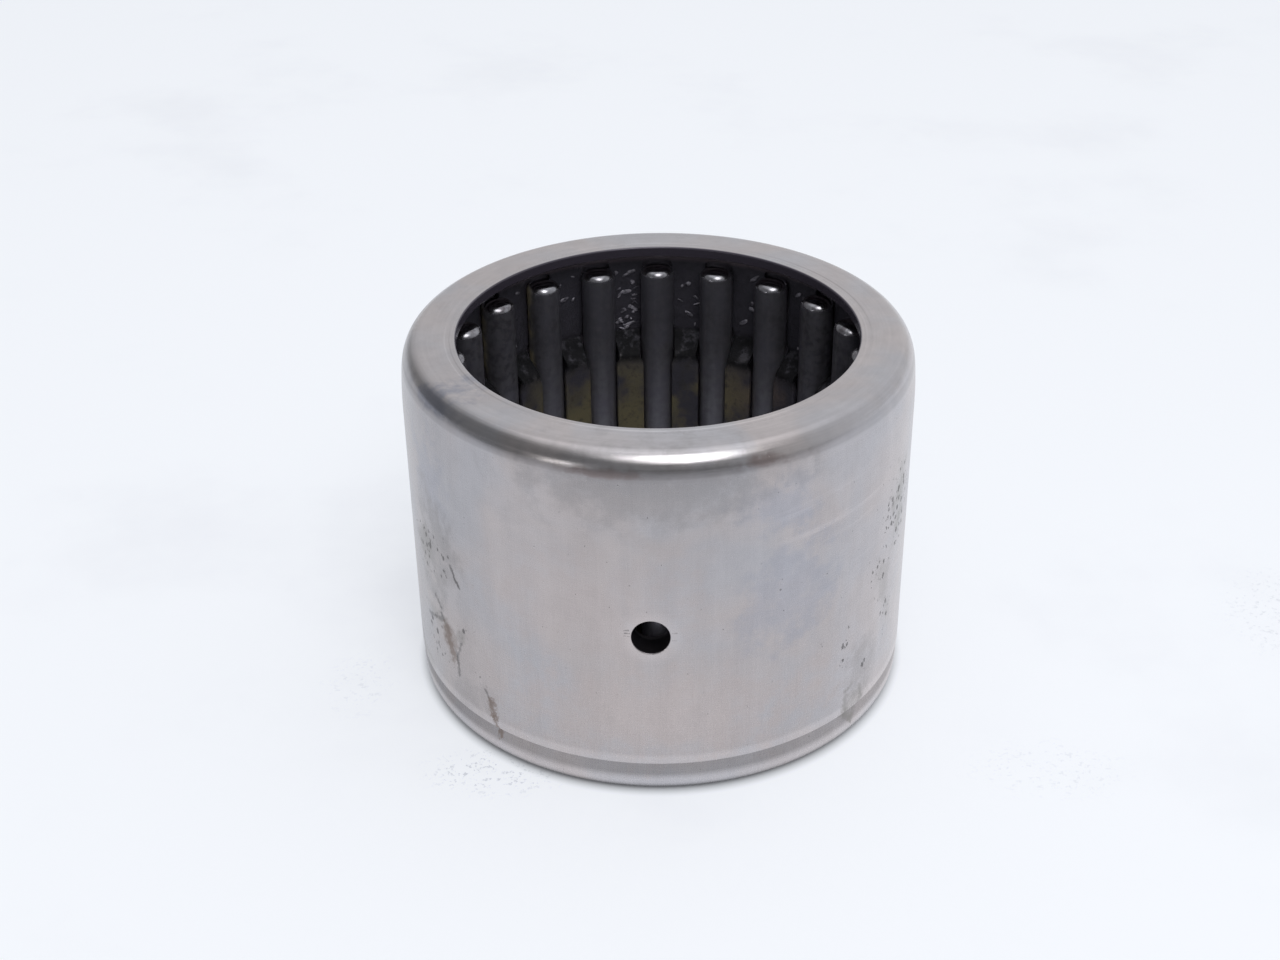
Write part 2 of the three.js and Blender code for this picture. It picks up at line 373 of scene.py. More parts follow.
def make_cup(material):
    """The shell: an outline turned round the axis, with a square patch cut out round the oil hole."""
    outline, outer_row, inner_row = cup_outline()
    rows, half = len(outline), PATCH_CELLS // 2
    turns = [math.radians(360 * j / CUP_COLUMNS) for j in range(CUP_COLUMNS)]
    vertices = [(r * math.sin(t), -r * math.cos(t), z) for r, z in outline for t in turns]

    def index(row, column):
        return (row % rows) * CUP_COLUMNS + column % CUP_COLUMNS

    def in_patch(row, column):
        near = min(column, CUP_COLUMNS - 1 - column) < half
        return near and any(0 <= row - first < PATCH_CELLS for first in (outer_row, inner_row))

    faces = [
        (index(i, j), index(i, j + 1), index(i + 1, j + 1), index(i + 1, j))
        for i in range(rows)
        for j in range(CUP_COLUMNS)
        if not in_patch(i, j)
    ]

    def border(first, flipped):
        """The patch's edge, anticlockwise from its lower left as seen from in front."""
        low, high = (first + PATCH_CELLS, first) if flipped else (first, first + PATCH_CELLS)
        step = 1 if high > low else -1
        loop = [index(low, j) for j in range(-half, half)]
        loop += [index(i, half) for i in range(low, high, step)]
        loop += [index(high, j) for j in range(half, -half, -1)]
        loop += [index(i, -half) for i in range(high, low, -step)]
        return loop

    outer_loop, inner_loop = border(outer_row, False), border(inner_row, True)
    headings = [math.atan2(vertices[v][2] - OIL_HOLE_HEIGHT, vertices[v][0]) for v in outer_loop]
    edge = [math.radians(a) for a in (0, 22.5, 45, 67.5, 90)]

    def ring(cup_radius, radius, sunk, share=0.0, loop=None):
        """A ring of the hole: on a circle, or part of the way from it to the patch's edge."""
        made = []
        for k, a in enumerate(headings):
            x, z = radius * math.cos(a), OIL_HOLE_HEIGHT + radius * math.sin(a)
            if loop:
                x += (vertices[loop[k]][0] - x) * share
                z += (vertices[loop[k]][2] - z) * share
            vertices.append((x, sunk - math.sqrt(cup_radius**2 - x * x), z))
            made.append(len(vertices) - 1)
        return made

    outer = CUP_RADIUS - INSET
    wide = OIL_HOLE_RADIUS + OIL_HOLE_RIM
    shares = (0.75, 0.5, 0.25, 0.06)
    worn = [(wide - OIL_HOLE_RIM * math.sin(a), OIL_HOLE_RIM * (1 - math.cos(a))) for a in edge]
    rings = [outer_loop]
    rings += [ring(outer, wide, 0, share, outer_loop) for share in shares]
    rings += [ring(outer, radius, sunk) for radius, sunk in worn]
    rings += [ring(outer, OIL_HOLE_RADIUS, sunk) for sunk in (0.14, 0.5, 0.95, 1.4)]
    rings += [ring(RACEWAY_RADIUS, OIL_HOLE_RADIUS, -0.14)]
    rings += [ring(RACEWAY_RADIUS, radius, -sunk) for radius, sunk in worn[::-1]]
    rings += [ring(RACEWAY_RADIUS, wide, 0, share, inner_loop) for share in shares[::-1]]
    rings.append(inner_loop)
    for near, far in zip(rings, rings[1:]):
        for k in range(len(near)):
            n = (k + 1) % len(near)
            faces.append((near[k], near[n], far[n], far[k]))

    used = sorted({v for f in faces for v in f})
    renamed = {old: new for new, old in enumerate(used)}
    return make_piece(
        "cup_shell",
        [vertices[v] for v in used],
        [tuple(renamed[v] for v in f) for f in faces],
        material,
        "cup",
        "drawn_cup",
    )


# ---------------------------------------------------------------- cage


def cage_path():
    """The sheet's middle line from the top flange's edge to the bottom one's, as (radius, height)."""
    half = SHEET / 2
    upper = [
        (FLANGE_RADIUS, CAGE_HALF_LENGTH - half, 0, 0),
        (CAGE_OUTER - half, CAGE_HALF_LENGTH - half, FLANGE_BEND, 4),
        (CAGE_OUTER - half, STEP_TOP, STEP_BEND, 4),
        (CAGE_INNER + half, STEP_BOTTOM, STEP_BEND, 4),
    ]
    lower = [(r, -z, radius, steps) for r, z, radius, steps in upper[::-1]]
    path = rounded(upper + lower)
    dense = [path[0]]
    for (r0, z0), (r1, z1) in zip(path, path[1:]):
        pieces = max(1, round(math.hypot(r1 - r0, z1 - z0) / CAGE_STEP))
        dense += [(r0 + (r1 - r0) * i / pieces, z0 + (z1 - z0) * i / pieces) for i in range(1, pieces + 1)]
    return dense


def pocket_half_width(z):
    """Half a pocket's width at a height, or None beyond its rounded ends."""
    height = abs(z)
    if height > POCKET_HALF_LENGTH:
        return None
    into_corner = height - (POCKET_HALF_LENGTH - POCKET_CORNER)
    if into_corner > 0:
        drop = POCKET_CORNER - math.sqrt(max(0.0, POCKET_CORNER**2 - into_corner**2))
        return POCKET_HALF_WIDTH - drop
    from_guide = max(abs(height - (STEP_TOP + STEP_BOTTOM) / 2) - GUIDE_HALF_LENGTH, 0) / GUIDE_BLEND
    share = max(0.0, 1 - from_guide)
    share = share * share * (3 - 2 * share)
    return POCKET_HALF_WIDTH + (GUIDE_HALF_WIDTH - POCKET_HALF_WIDTH) * share


def make_cage(material, roller_turns):
    """Twenty stepped bars between two flanged rings, all one sheet."""
    pitch = 2 * math.pi / len(roller_turns)
    ends = [POCKET_HALF_LENGTH - POCKET_CORNER * (1 - math.cos(math.radians(a))) for a in (0, 25, 50, 75)]
    ends += [-z for z in ends[::-1]]
    bare = cage_path()
    path = bare[:1]
    for (r0, z0), (r1, z1) in zip(bare, bare[1:]):
        between = [z for z in ends if z1 + 1e-6 < z < z0 - 1e-6]
        path += [(r0 + (r1 - r0) * (z0 - z) / (z0 - z1), z) for z in between]
        path.append((r1, z1))
    columns = BAR_COLUMNS
    vertices, faces, names = [], [], {}

    def vertex(row, bar, column):
        """The first columns cross a bar, and as many again the pocket after it."""
        if column == 2 * columns:
            return vertex(row, (bar + 1) % len(roller_turns), 0)
        key = (row, bar, column)
        if key not in names:
            r, z = path[row]
            width = pocket_half_width(z)
            if width is None:
                width = POCKET_HALF_WIDTH - POCKET_CORNER
            gap = math.asin(width / r)
            if column <= columns:
                share = column / columns * 2 - 1
                turn = share * (pitch / 2 - gap)
            else:
                share = (column - columns) / columns
                turn = pitch / 2 - gap + 2 * gap * share
            turn += roller_turns[bar] + pitch / 2
            names[key] = len(vertices)
            vertices.append((r * math.cos(turn), r * math.sin(turn), z))
        return names[key]

    for row in range(len(path) - 1):
        middle = (path[row][1] + path[row + 1][1]) / 2
        solid = pocket_half_width(middle) is None
        for bar in range(len(roller_turns)):
            for column in range(2 * columns if solid else columns):
                faces.append(
                    (
                        vertex(row, bar, column),
                        vertex(row + 1, bar, column),
                        vertex(row + 1, bar, column + 1),
                        vertex(row, bar, column + 1),
                    )
                )
    piece = make_piece("cage_sheet", vertices, faces, material, "cage", "roller_cage")
    thick = piece.modifiers.new("thickness", "SOLIDIFY")
    thick.thickness = SHEET * MM
    thick.offset = 0
    thick.use_even_offset = True
    edges = piece.modifiers.new("edges", "BEVEL")
    edges.width = CAGE_EDGE * MM
    edges.segments = 2
    edges.limit_method = "ANGLE"
    edges.angle_limit = math.radians(50)
    shading = piece.modifiers.new("shading", "WEIGHTED_NORMAL")
    shading.keep_sharp = True
    settle(piece)
    return piece


def make_grease(material, roller_turns):
    """Small lumps of dried grease on the inside of the bars' outer runs, all one piece."""
    draw = random.Random(7)
    around, along = 8, 5
    vertices, faces = [], []
    pitch = 2 * math.pi / len(roller_turns)
    bars = [turn + pitch / 2 for turn in roller_turns]
    clumped = min(bars, key=lambda bar: abs(math.remainder(bar - math.radians(GREASE_CLUMP), 2 * math.pi)))
    for lump in range(GREASE_LUMPS):
        bar, side = draw.choice(bars), draw.choice((1, -1))
        if lump % 10 == 0:
            bar, side = clumped, 1
        turn = bar + draw.uniform(-1, 1) * GREASE_REACH / CAGE_OUTER
        middle = Vector((0, 0, side * draw.uniform(*GREASE_HEIGHTS)))
        out = Vector((math.cos(turn), math.sin(turn), 0))
        sideways = Vector((-out.y, out.x, 0))
        middle += out * (CAGE_OUTER - SHEET - 0.01)
        wide, tall, thick = (draw.uniform(*sizes) for sizes in (LUMP_WIDTHS, LUMP_HEIGHTS, LUMP_DEPTHS))
        wide *= draw.choice((1.0, 1.0, 1.0, 1.8))
        lean = draw.uniform(-LUMP_LEAN, LUMP_LEAN)
        across = sideways * math.cos(lean) + Vector((0, 0, math.sin(lean)))
        upward = out.cross(across)
        first = len(vertices)
        for i in range(1, along):
            polar = math.pi * i / along
            for k in range(around):
                a = 2 * math.pi * k / around
                swell = draw.uniform(*LUMP_SWELLS)
                offset = across * wide * math.sin(polar) * math.cos(a) * swell
                offset += upward * tall * math.sin(polar) * math.sin(a) * swell
                vertices.append(middle + offset + out * thick * math.cos(polar))
        vertices += [middle + out * thick, middle - out * thick]
        outer_pole, inner_pole = len(vertices) - 2, len(vertices) - 1
        last = first + (along - 2) * around
        for k in range(around):
            n = (k + 1) % around
            faces.append((outer_pole, first + k, first + n))
            faces.append((inner_pole, last + n, last + k))
            for row in range(first, last, around):
                faces.append((row + k, row + around + k, row + around + n, row + n))
    mesh = bpy.data.meshes.new("cage_grease")
    mesh.from_pydata([v * MM for v in vertices], [], faces)
    mesh.validate()
    mesh.shade_smooth()
    mesh.materials.append(material)
    lumps = bpy.data.objects.new("cage_grease", mesh)
    bpy.context.scene.collection.objects.link(lumps)
    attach(lumps, "cage")
    return lumps


# ---------------------------------------------------------------- rollers


def make_roller(name, node, body, centre, material):
    """A needle: ground cylinder, rounded corners and a domed end."""
    corner = arc(
        ROLLER_RADIUS - ROLLER_CORNER,
        ROLLER_HALF_LENGTH - ROLLER_DOME - ROLLER_CORNER,
        ROLLER_CORNER,
        ROLLER_CORNER,
        0,
        80,
        8,
    )
    inner_r, inner_z = corner[-1]
    dome = [
        (inner_r * s, inner_z + (ROLLER_HALF_LENGTH - inner_z) * (1 - s * s)) for s in (0.85, 0.65, 0.4, 0.2)
    ]
    body_rows = [(ROLLER_RADIUS, z) for z in ROLLER_ROWS]
    half = body_rows[::-1] + corner + dome
    outline = [(r, -z) for r, z in half[:0:-1]] + half
    segments = ROLLER_COLUMNS
    vertices = [
        (
            centre.x / MM + r * math.cos(2 * math.pi * k / segments),
            centre.y / MM + r * math.sin(2 * math.pi * k / segments),
            z,
        )
        for r, z in outline
        for k in range(segments)
    ]
    faces = []
    for i in range(len(outline) - 1):
        for k in range(segments):
            n = (k + 1) % segments
            faces.append(
                (i * segments + k, i * segments + n, (i + 1) * segments + n, (i + 1) * segments + k)
            )
    for z, row in ((-ROLLER_HALF_LENGTH, 0), (ROLLER_HALF_LENGTH, len(outline) - 1)):
        vertices.append((centre.x / MM, centre.y / MM, z))
        tip = len(vertices) - 1
        for k in range(segments):
            pair = [row * segments + k, row * segments + (k + 1) % segments]
            faces.append((tip, *(pair if z > 0 else pair[::-1])))
    return make_piece(name, vertices, faces, material, body, node)


# ---------------------------------------------------------------- materials


class Surface:
    """Shorthand for building one material's node tree."""

    def __init__(self, name, **settings):
        self.material = bpy.data.materials.new(name)
        self.material.use_nodes = True
        self.nodes = self.material.node_tree.nodes
        self.links = self.material.node_tree.links
        self.shader = self.nodes["Principled BSDF"]
        self.set(self.shader, settings)
        place = self.nodes.new("ShaderNodeTexCoord").outputs["Object"]
        self.place = self.add("ShaderNodeVectorMath", {0: place, "Scale": 1 / MM}, operation="SCALE")
        self.x, self.y, self.z = self.add("ShaderNodeSeparateXYZ", {0: self.place}, every=True)
        self.radius = self.length(self.vector("MULTIPLY", self.place, (1, 1, 0)))
        # The place on the cup's wall as (millimetres round it from the front, height)
        around = self.math("ARCTAN2", self.x, self.math("MULTIPLY", self.y, -1.0))
        along = self.math("MULTIPLY", around, CUP_RADIUS)
        self.skin = self.add("ShaderNodeCombineXYZ", {0: along, 1: self.z})

    def set(self, node, values):
        """Links sockets and sets plain values, by input number or name."""
        for key, value in values.items():
            if isinstance(value, bpy.types.NodeSocket):
                self.links.new(value, node.inputs[key])
            else:
                node.inputs[key].default_value = value

    def add(self, kind, values=(), every=False, **properties):
        """Makes a node, and gives its first output or a list of them all."""
        node = self.nodes.new(kind)
        for key, value in properties.items():
            setattr(node, key, value)
        self.set(node, dict(values))
        live = [o for o in node.outputs if o.enabled]
        return live if every else live[0]

    def math(self, operation, *values):
        return self.add("ShaderNodeMath", enumerate(values), operation=operation)

    def spread(self, value, low, high, bottom=0.0, top=1.0, smooth=True):
        """Maps low..high to bottom..top, and holds the ends."""
        kind = "SMOOTHSTEP" if smooth else "LINEAR"
        values = {0: value, 1: low, 2: high, 3: bottom, 4: top}
        return self.add("ShaderNodeMapRange", values, interpolation_type=kind)

    def band(self, value, rising, falling):
        """1 between two soft edges, each given as where it starts and ends going up."""
        lower = self.spread(value, *rising)
        return self.math("MULTIPLY", lower, self.spread(value, falling[1], falling[0]))

    def fade(self, first, second, share):
        """From the first value to the second."""
        return self.add("ShaderNodeMix", {0: share, 2: first, 3: second}, data_type="FLOAT")

    def vector(self, operation, first, second):
        return self.add("ShaderNodeVectorMath", {0: first, 1: second}, operation=operation)

    def length(self, vector):
        return self.add("ShaderNodeVectorMath", {0: vector}, operation="LENGTH")

    def mix(self, factor, first, second, kind="MIX"):
        node = self.nodes.new("ShaderNodeMix")
        node.data_type = "RGBA"
        node.blend_type = kind
        self.set(node, {0: factor, 6: rgba(first), 7: rgba(second)})
        return node.outputs[2]

    def stretched(self, x, y, z):
        return self.vector("MULTIPLY", self.place, (x, y, z))

    def noise(self, where, scale, detail=3.0, roughness=0.55, distortion=0.0):
        return self.add(
            "ShaderNodeTexNoise",
            {
                "Vector": where,
                "Scale": scale,
                "Detail": detail,
                "Roughness": roughness,
                "Distortion": distortion,
            },
        )

    def tinted(self, colour, tone):
        grey = self.add("ShaderNodeCombineColor", {0: tone, 1: tone, 2: tone})
        return self.mix(1.0, colour, grey, "MULTIPLY")

    def fray(self, ragged, reach):
        """Moves an edge in and out by up to a reach."""
        return self.spread(ragged, 0.3, 0.7, -reach, reach, smooth=False)

    def spot(self, turn, height, width, tall, ragged, strength):
        """1 in the middle of a patch on the wall, fading to 0 at its ragged edge."""
        offset = self.vector("SUBTRACT", self.skin, wall_place(turn, height))
        far = self.length(self.vector("MULTIPLY", offset, (1 / width, 1 / tall, 1)))
        far = self.math("ADD", far, self.fray(ragged, strength / 2))
        return self.spread(far, 1.0, 0.25)

    def stroke(self, start, end, width, ragged):
        """1 along a ragged line on the wall between two places (degrees round, height)."""
        run = wall_place(*end) - wall_place(*start)
        offset = self.vector("SUBTRACT", self.skin, wall_place(*start))
        share = self.vector("DOT_PRODUCT", offset, run / run.length_squared)
        share = self.add("ShaderNodeClamp", {0: share, 1: 0.0, 2: 1.0})
        along = self.add("ShaderNodeVectorMath", {0: run, "Scale": share}, operation="SCALE")
        far = self.math("ADD", self.vector("DISTANCE", offset, along), self.fray(ragged, width))
        return self.spread(far, width * 1.2, width * 0.2)

    def pits(self, ragged):
        """Clustered corrosion pits on the wall."""
        place = {"Vector": self.stretched(1, 1, 0.7), "Scale": 2.6}
        cells, draw = self.add("ShaderNodeTexVoronoi", place, every=True)[:2]
        size = self.spread(self.add("ShaderNodeSeparateColor", {0: draw}), 0.1, 1.0, 0.25, 1.35)
        near = 0.0
        for turn, height, width, tall in PITTED:
            near = self.math("MAXIMUM", near, self.spot(turn, height, width, tall, ragged, 0.9))
        reach = self.math("MULTIPLY", self.math("MULTIPLY", near, 0.34), size)
        edge = self.math("ADD", cells, self.spread(ragged, 0.3, 0.7, -0.14, 0.14))
        return self.spread(self.math("SUBTRACT", reach, edge), -0.02, 0.08)

    def bump(self, height, depth, below=None):
        """A bump of that depth in millimetres."""
        values = {"Strength": 1.0, "Distance": depth * MM, "Height": height}
        if below:
            values["Normal"] = below
        return self.add("ShaderNodeBump", values)


def wall_place(turn, height):
    """A place on the cup's wall, in millimetres round from the front and up."""
    return Vector((math.radians(turn) * CUP_RADIUS, height, 0))


def rgba(colour):
    return (*colour, 1.0) if isinstance(colour, tuple) and len(colour) == 3 else colour


def cup_steel():
    """Ground and handled steel: fine vertical grain on the wall, turned rings on the end faces, with painted
    light and shade on the wall, its corner and foot, and in the oil hole.
    """
    s = Surface("cup_steel", Metallic=1.0)
    on_wall = s.math("MULTIPLY", s.spread(s.radius, 15.7, 16.2), s.spread(s.z, 11.2, 10.5))
    bore = s.spread(s.radius, LIP_RADIUS + 0.12, LIP_RADIUS + 0.04)
    inside = s.math("MULTIPLY", s.spread(s.radius, 15.6, 15.4), s.spread(s.math("ABSOLUTE", s.z), 12.2, 12.1))
    lining = s.math("MAXIMUM", bore, inside)
    across = s.add("ShaderNodeCombineXYZ", {0: s.x, 1: s.math("SUBTRACT", s.z, OIL_HOLE_HEIGHT)})
    from_hole = s.length(across)
    in_front = s.spread(s.y, -13.0, -14.0)
    # Painted shade in the oil hole: its wall is painted near-black.
    hole_painted_shade = s.spread(from_hole, OIL_HOLE_RADIUS + 0.05, OIL_HOLE_RADIUS + 0.01)
    hole_painted_shade = s.math("MULTIPLY", hole_painted_shade, in_front)
    oil_and_hole_shade = s.math("MAXIMUM", lining, hole_painted_shade)

    level = s.add("ShaderNodeCombineXYZ", {0: s.x, 1: s.y})
    round_wall = s.add("ShaderNodeVectorMath", {0: level}, operation="NORMALIZE")
    round_wall = s.add("ShaderNodeVectorMath", {0: round_wall, "Scale": CUP_RADIUS}, operation="SCALE")
    lift = s.add("ShaderNodeCombineXYZ", {2: s.math("MULTIPLY", s.z, 0.06)})
    upright = s.noise(s.vector("ADD", round_wall, lift), 9.0, 5)
    weave = s.fade(upright, s.noise(s.stretched(0.08, 0.08, 1), 9.0, 4), 0.4)
    drift = s.math("MULTIPLY", s.math("ADD", s.x, s.y), 0.02)
    turned_rings = s.noise(s.add("ShaderNodeCombineXYZ", {0: s.radius, 1: s.z, 2: drift}), 9.0, 4)
    grain = s.fade(turned_rings, weave, on_wall)
    bands = s.noise(s.stretched(1, 1, 0.05), 0.7, 3)
    cloud = s.noise(s.place, 0.13, 3, distortion=0.6)
    mottle = s.noise(s.place, 0.6, 5, 0.65)
    ragged = s.noise(s.place, 3.2, 5, 0.8)

    rosy, blue = (0.47, 0.431, 0.425), (0.438, 0.428, 0.445)
    colour = s.mix(s.spread(cloud, 0.35, 0.7), rosy, blue)
    for turn, height, width, tall, weight, tint in TINTS:
        where = s.math("MULTIPLY", s.spot(turn, height, width, tall, mottle, 0.9), weight)
        colour = s.mix(where, colour, tint)
    tone = s.math("ADD", s.spread(grain, 0.3, 0.7, -0.03, 0.03), s.spread(bands, 0.3, 0.7, 0.975, 1.025))
    tone = s.math("ADD", tone, s.spread(mottle, 0.3, 0.7, -0.03, 0.03))
    on_face = s.spread(s.z, 12.2, 12.42)
    # Painted light and shade: the wall lighter on its right and darker on its left, and the end face painted
    # lighter, most at its front.
    painted_side_light = s.math("MULTIPLY", s.spread(s.x, 8, 15.5, 1.0, 1.12), s.spread(s.x, -15.5, -9, 0.86, 1.0))
    tone = s.math("MULTIPLY", tone, s.fade(painted_side_light, s.spread(s.y, -8.0, -14.0, 1.2, 1.28), on_face))
    # Burnish, and a painted highlight where the groove's upper edge catches light.
    burnish_and_painted_highlight = s.band(s.z, (-10.16, -10.1), (-9.7, -9.3))
    # Darker from the groove's upper edge down to the curl's crest.
    darker_groove_band = s.band(s.z, (-11.3, -10.95), (-10.18, -10.12))
    # Painted highlight along the curl's crest.
    crest_painted_highlight = s.band(s.z, (-12.15, -11.95), (-11.5, -11.2))
    # Painted dark reflection on the wall's top, just below the drawn corner.
    shoulder_painted_reflection = s.band(s.z, (10.9, 11.15), (11.5, 11.7))
    # Painted shade on the left of the drawn corner.
    left_bend_painted_shade = s.math("MULTIPLY", s.band(s.z, (11.2, 11.6), (12.3, 12.47)), s.spread(s.x, -1.0, -5.5))
    halo = s.math("MULTIPLY", s.spread(from_hole, 2.2, OIL_HOLE_RADIUS), in_front)
    slanted = s.add("ShaderNodeVectorRotate", {0: s.skin, 3: math.radians(-5)}, rotation_type="Z_AXIS")
    slanted = s.vector("MULTIPLY", slanted, (0.05, 1, 1))
    wiped = s.spread(s.noise(slanted, 1.2, 3), 0.5, 0.68)
    wiped = s.math("MULTIPLY", wiped, s.spot(42, 5.5, 7, 7, mottle, 0.5))
    changes = (
        (burnish_and_painted_highlight, 0.17),
        (darker_groove_band, -0.28),
        (crest_painted_highlight, 0.2),
        (shoulder_painted_reflection, -0.16),
        (left_bend_painted_shade, -0.17),
        (halo, 0.12),
        (wiped, 0.12),
    )
    for mark, change in changes:
        tone = s.math("ADD", tone, s.math("MULTIPLY", mark, change))
    colour = s.tinted(colour, tone)

    pits = s.pits(ragged)
    dark = s.math("MULTIPLY", pits, 0.8)
    colour = s.mix(dark, colour, SOOT)
    for start, end, width, weight, tint in STREAKS:
        line = s.math("MULTIPLY", s.stroke(start, end, width, ragged), weight)
        colour = s.mix(line, colour, tint)
        dark = s.math("MAXIMUM", dark, line)
    colour = s.mix(oil_and_hole_shade, colour, (0.24, 0.22, 0.265))
    colour = s.mix(bore, colour, (0.06, 0.052, 0.07))
    # Painted shade: the oil hole's wall, near-black.
    colour = s.mix(hole_painted_shade, colour, (0.05, 0.045, 0.05))
    s.set(s.shader, {"Metallic": s.spread(lining, 0, 1, 1.0, 0.3)})

    polish = s.fade(0.22, 0.27, on_wall)
    rough = s.math("ADD", polish, s.spread(grain, 0.3, 0.7, -0.03, 0.04))
    rough = s.math("ADD", rough, s.math("MULTIPLY", s.math("MAXIMUM", dark, hole_painted_shade), 0.25))
    s.set(s.shader, {"Base Color": colour, "Roughness": rough})
    fine = s.noise(s.place, 12.0, 3, 0.6)
    worn = s.bump(s.math("MULTIPLY", pits, -1.0), 0.016, s.bump(grain, 0.0018))
    grit = s.math("MULTIPLY", s.spread(on_wall, 0.0, 1.0, 1.0, 0.4), s.spread(s.z, -10.2, -10.0, 0.3, 1.0))
    s.set(s.shader, {"Normal": s.bump(s.math("MULTIPLY", fine, grit), 0.0055, worn)})
    return s.material


def old_grease():
    """Dried grease: pale and waxy."""
    s = Surface("old_grease", Metallic=0.0)
    shade = s.noise(s.place, 2.0, 4)
    colour = s.mix(s.spread(shade, 0.35, 0.65), (0.05, 0.047, 0.06), (0.3, 0.285, 0.33))
    s.set(s.shader, {"Base Color": colour, "Roughness": s.spread(shade, 0.3, 0.7, 0.25, 0.5)})
    s.set(s.shader, {"Normal": s.bump(s.noise(s.place, 9.0, 3), 0.01)})
    return s.material


def cage_steel():
    """Blackened sheet under a film of old grease, olive low down where the film is thick."""
    s = Surface("cage_steel", Metallic=0.3)
    patches = s.noise(s.place, 0.3, 5, 0.6)
    film = s.noise(s.place, 1.2, 6, 0.65)
    low = s.spread(s.z, 5.0, 1.0)
    black, olive, rusty = (0.06, 0.057, 0.072), (0.18, 0.155, 0.09), (0.15, 0.115, 0.105)
    thick = s.mix(s.spread(s.x, 3.0, 9.0), olive, rusty)
    colour = s.mix(s.math("MULTIPLY", s.spread(patches, 0.4, 0.6), low), black, thick)
    colour = s.mix(s.spread(film, 0.5, 0.7, 0.0, 0.65), colour, (0.03, 0.029, 0.036))
    step = s.band(s.z, (STEP_BOTTOM - 0.9, STEP_BOTTOM), (STEP_TOP, STEP_TOP + 0.5))
    caked = s.math("MULTIPLY", step, s.spread(s.noise(s.place, 0.9, 5, 0.7), 0.48, 0.66, 0.95, 0.35))
    colour = s.mix(caked, colour, (0.008, 0.008, 0.009))
    # Painted light: the upper end ring, in the shade under the lip, is painted a lighter purple.
    colour = s.mix(s.spread(s.z, 10.7, 11.1), colour, (0.16, 0.13, 0.15))
    rough = s.math("ADD", s.spread(film, 0.3, 0.7, 0.3, 0.5), s.math("MULTIPLY", caked, 0.3))
    shine = s.spread(caked, 0, 1, 0.5, 0.15)
    s.set(s.shader, {"Base Color": colour, "Roughness": rough, "Specular IOR Level": shine})
    s.set(s.shader, {"Normal": s.bump(film, 0.12, s.bump(s.noise(s.place, 6.0, 4), 0.02))})
    return s.material


def roller_steel():
    """Hardened rollers, bright at the ends and dulled by an uneven oil film along their length, with painted
    light low down and painted shade on the outer ones.
    """
    s = Surface("roller_steel", Metallic=1.0)
    bands = s.noise(s.stretched(1, 1, 0.06), 3.0, 3)
    film = s.noise(s.place, 0.5, 5, 0.6)
    grime = s.noise(s.place, 1.8, 4, 0.6)
    colour = s.mix(s.spread(bands, 0.35, 0.7), (0.36, 0.355, 0.38), (0.43, 0.425, 0.45))
    # Grime on every roller, heavier on those out at the sides, where the extra is painted shade.
    outer_rollers_painted_shade = s.spread(s.math("ABSOLUTE", s.x), 7.0, 11.0, 0.3, 0.75)
    colour = s.mix(s.math("MULTIPLY", s.spread(grime, 0.4, 0.65), outer_rollers_painted_shade), colour, (0.13, 0.11, 0.12))
    on_side = s.spread(s.math("ABSOLUTE", s.z), 10.5, 10.1)
    oiled = s.math("MULTIPLY", s.spread(film, 0.3, 0.7, 0.5, 0.85), on_side)
    colour = s.mix(oiled, colour, (0.17, 0.165, 0.205))
    # Yellowish gum and a painted sheen on the left faces of the leftmost rollers.
    normal_x = s.add("ShaderNodeSeparateXYZ", {0: s.nodes.new("ShaderNodeTexCoord").outputs["Normal"]})
    gum_and_painted_sheen = s.math("MULTIPLY", s.spread(normal_x, -0.4, -0.9), s.spread(s.x, -6.3, -8.0))
    patchy = s.spread(s.noise(s.place, 0.8, 3), 0.35, 0.6, 0.3, 0.9)
    gum_and_painted_sheen = s.math("MULTIPLY", s.math("MULTIPLY", gum_and_painted_sheen, patchy), s.spread(s.z, -2.0, 6.0, 0.4, 1.0))
    colour = s.mix(gum_and_painted_sheen, colour, (0.34, 0.29, 0.17))
    # Painted light and shade: darker towards the top, lighter low down where the floor's light comes up
    # through the bore.
    colour = s.tinted(colour, s.spread(s.z, 7.5, -2.0, 0.84, 1.36))
    dull = s.math("MAXIMUM", s.math("MULTIPLY", oiled, 0.35), s.math("MULTIPLY", gum_and_painted_sheen, 0.8))
    rough = s.math("ADD", s.spread(bands, 0.3, 0.7, 0.19, 0.22), s.math("MULTIPLY", dull, 0.5))
    s.set(s.shader, {"Base Color": colour, "Roughness": rough, "Metallic": s.math("SUBTRACT", 1.0, dull)})
    s.set(s.shader, {"Normal": s.bump(film, 0.01, s.bump(s.noise(s.place, 8.0, 3), 0.001))})
    return s.material


